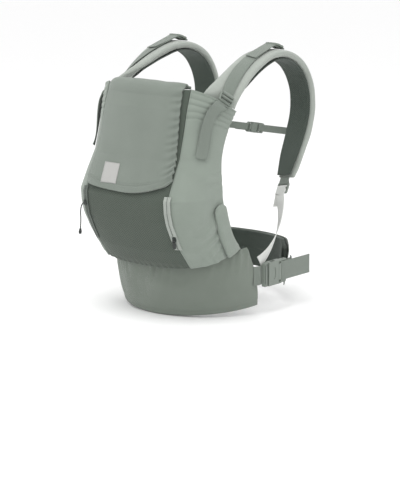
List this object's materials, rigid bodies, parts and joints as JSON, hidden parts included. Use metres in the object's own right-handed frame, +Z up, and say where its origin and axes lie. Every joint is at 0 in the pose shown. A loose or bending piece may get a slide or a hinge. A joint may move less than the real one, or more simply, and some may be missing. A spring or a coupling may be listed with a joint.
{
  "type": "soft baby carrier",
  "caption": "Soft structured baby carrier with a padded waist belt, front pouch with mesh panel, folded head support, padded shoulder straps and side-release buckles.",
  "frame": {"origin": "middle of the waist loop, at the height of the belt's front hem", "axes": "+Z up, -Y the front with the child's pouch, +Y the wearer's back, +X the wearer's left"},
  "size_m": [0.3777, 0.4652, 0.5527],
  "materials": {
    "fabric": "matte woven cotton",
    "liner_fabric": "matte",
    "spacer_mesh": "matte knitted mesh",
    "webbing": "matte ribbed",
    "pale_webbing": "matte ribbed",
    "moulded_plastic": "satin",
    "zip_metal": "satin",
    "zip_pulls": "matte",
    "label": "matte woven"
  },
  "bodies": {
    "carrier": {"belt_cover": "fabric", "belt_foam": "fabric", "belt_lining": "spacer_mesh", "chest_rail_left": "moulded_plastic", "chest_rail_right": "moulded_plastic", "end_anchor_left": "webbing", "end_anchor_right": "webbing", "front_mesh_panel": "spacer_mesh", "front_webbing_left": "webbing", "front_webbing_right": "webbing", "leg_pad_left": "fabric", "leg_pad_right": "fabric", "lower_webbing_left": "pale_webbing", "lower_webbing_right": "pale_webbing", "neck_roll": "fabric", "pouch_liner": "liner_fabric", "shoulder_pad_left": "fabric", "shoulder_pad_right": "fabric", "side_panel_left": "fabric", "side_panel_right": "fabric", "strap_mesh_left": "spacer_mesh", "strap_mesh_right": "spacer_mesh", "strap_webbing_left": "webbing", "strap_webbing_right": "webbing", "top_anchor_left": "webbing", "top_anchor_right": "webbing", "waist_anchor": "webbing", "waist_feed": "webbing", "waist_socket": "moulded_plastic", "zip_tape_left": "fabric", "zip_tape_right": "fabric"},
    "head_support": {"head_support_flap": "fabric", "flap_label": "label"},
    "waist_plug": {"waist_plug": "moulded_plastic", "waist_tail": "webbing"},
    "waist_prong_lower": {"waist_prong_lower": "moulded_plastic"},
    "waist_prong_upper": {"waist_prong_upper": "moulded_plastic"},
    "chest_strap": {"chest_clip_left": "moulded_plastic", "chest_clip_right": "moulded_plastic", "chest_webbing_left": "webbing", "chest_webbing_right": "webbing", "chest_socket": "moulded_plastic"},
    "chest_plug": {"chest_plug": "moulded_plastic", "chest_tail": "webbing"},
    "chest_prong_lower": {"chest_prong_lower": "moulded_plastic"},
    "chest_prong_upper": {"chest_prong_upper": "moulded_plastic"},
    "front_lock_left": {"front_lock_left": "moulded_plastic"},
    "front_lock_right": {"front_lock_right": "moulded_plastic"},
    "top_lock_left": {"top_lock_left": "moulded_plastic"},
    "top_lock_right": {"top_lock_right": "moulded_plastic"},
    "end_lock_left": {"end_lock_left": "moulded_plastic"},
    "end_lock_right": {"end_lock_right": "moulded_plastic"},
    "zip_slider_left": {"zip_slider_left": "zip_metal"},
    "zip_pull_left": {"zip_pull_left": "zip_pulls"},
    "zip_slider_right": {"zip_slider_right": "zip_metal"},
    "zip_cord_right": {"zip_cord_right": "zip_pulls", "zip_toggle_right": "zip_pulls"}
  },
  "joints": [
    {"name": "head_support_fold", "type": "hinge", "parent": "carrier", "child": "head_support", "pos_m": [0, -0.171, 0.486], "axis": [-1, 0, 0], "range_deg": [0, 150]},
    {"name": "waist_buckle_release", "type": "slide", "parent": "carrier", "child": "waist_plug", "axis": [0, 1, 0], "range_m": [0, 0.04], "deforming": ["waist_feed"]},
    {"name": "waist_prong_lower_flex", "type": "hinge", "parent": "waist_plug", "child": "waist_prong_lower", "pos_m": [0.186, 0.0144, 0.0666], "axis": [-1, 0, 0], "range_deg": [0, 4], "stiffness_Nm_per_rad": 0.4},
    {"name": "waist_prong_upper_flex", "type": "hinge", "parent": "waist_plug", "child": "waist_prong_upper", "pos_m": [0.186, 0.0144, 0.1054], "axis": [-1, 0, 0], "range_deg": [-4, 0], "stiffness_Nm_per_rad": 0.4},
    {"name": "chest_strap_height", "type": "slide", "parent": "carrier", "child": "chest_strap", "axis": [0, 0.3316, 0.9434], "range_m": [-0.014, 0.014]},
    {"name": "chest_buckle_release", "type": "slide", "parent": "chest_strap", "child": "chest_plug", "axis": [-1, 0, 0], "range_m": [0, 0.018], "deforming": ["chest_webbing_right"]},
    {"name": "chest_prong_lower_flex", "type": "hinge", "parent": "chest_plug", "child": "chest_prong_lower", "pos_m": [-0.0116, 0.1848, 0.34146], "axis": [0, -0.9434, 0.3316], "range_deg": [0, 4], "stiffness_Nm_per_rad": 0.4},
    {"name": "chest_prong_upper_flex", "type": "hinge", "parent": "chest_plug", "child": "chest_prong_upper", "pos_m": [-0.0116, 0.18984, 0.3558], "axis": [0, -0.9434, 0.3316], "range_deg": [-4, 0], "stiffness_Nm_per_rad": 0.4},
    {"name": "front_lock_left_tilt", "type": "hinge", "parent": "carrier", "child": "front_lock_left", "pos_m": [0.1481, -0.10961, 0.46449], "axis": [-0.5034, -0.6398, 0.5808], "range_deg": [0, 30], "deforming": ["front_webbing_left", "strap_webbing_left"]},
    {"name": "front_lock_right_tilt", "type": "hinge", "parent": "carrier", "child": "front_lock_right", "pos_m": [-0.1481, -0.10961, 0.46449], "axis": [-0.5034, 0.6398, -0.5808], "range_deg": [0, 30], "deforming": ["front_webbing_right", "strap_webbing_right"]},
    {"name": "top_lock_left_tilt", "type": "hinge", "parent": "carrier", "child": "top_lock_left", "pos_m": [0.12811, 0.08654, 0.54431], "axis": [-1, 0.0009, 0.0071], "range_deg": [0, 30], "deforming": ["strap_webbing_left"]},
    {"name": "top_lock_right_tilt", "type": "hinge", "parent": "carrier", "child": "top_lock_right", "pos_m": [-0.12811, 0.08654, 0.54431], "axis": [-1, -0.0009, -0.0071], "range_deg": [0, 30], "deforming": ["strap_webbing_right"]},
    {"name": "end_lock_left_tilt", "type": "hinge", "parent": "carrier", "child": "end_lock_left", "pos_m": [0.13474, 0.1051, 0.25154], "axis": [0.9698, -0.1825, 0.1621], "range_deg": [0, 30], "deforming": ["lower_webbing_left"]},
    {"name": "end_lock_right_tilt", "type": "hinge", "parent": "carrier", "child": "end_lock_right", "pos_m": [-0.13474, 0.1051, 0.25154], "axis": [0.9698, 0.1825, -0.1621], "range_deg": [0, 30], "deforming": ["lower_webbing_right"]},
    {"name": "zip_left_slide", "type": "slide", "parent": "carrier", "child": "zip_slider_left", "axis": [0.1799, -0.4152, 0.8918], "range_m": [0, 0.02]},
    {"name": "zip_pull_left_swing", "type": "hinge", "parent": "zip_slider_left", "child": "zip_pull_left", "pos_m": [0.10963, -0.23728, 0.18099], "axis": [-0.9176, -0.3975, 0], "range_deg": [0, 110]},
    {"name": "zip_right_slide", "type": "slide", "parent": "carrier", "child": "zip_slider_right", "axis": [-0.0478, -0.158, 0.9863], "range_m": [-0.01, 0.01]},
    {"name": "zip_cord_right_swing", "type": "hinge", "parent": "zip_slider_right", "child": "zip_cord_right", "pos_m": [-0.10871, -0.26069, 0.23701], "axis": [1, 0, 0], "range_deg": [-25, 25]}
  ],
  "couplings": [
    {"joint": "waist_prong_upper_flex", "follows": "waist_prong_lower_flex", "ratio": -1}
  ]
}
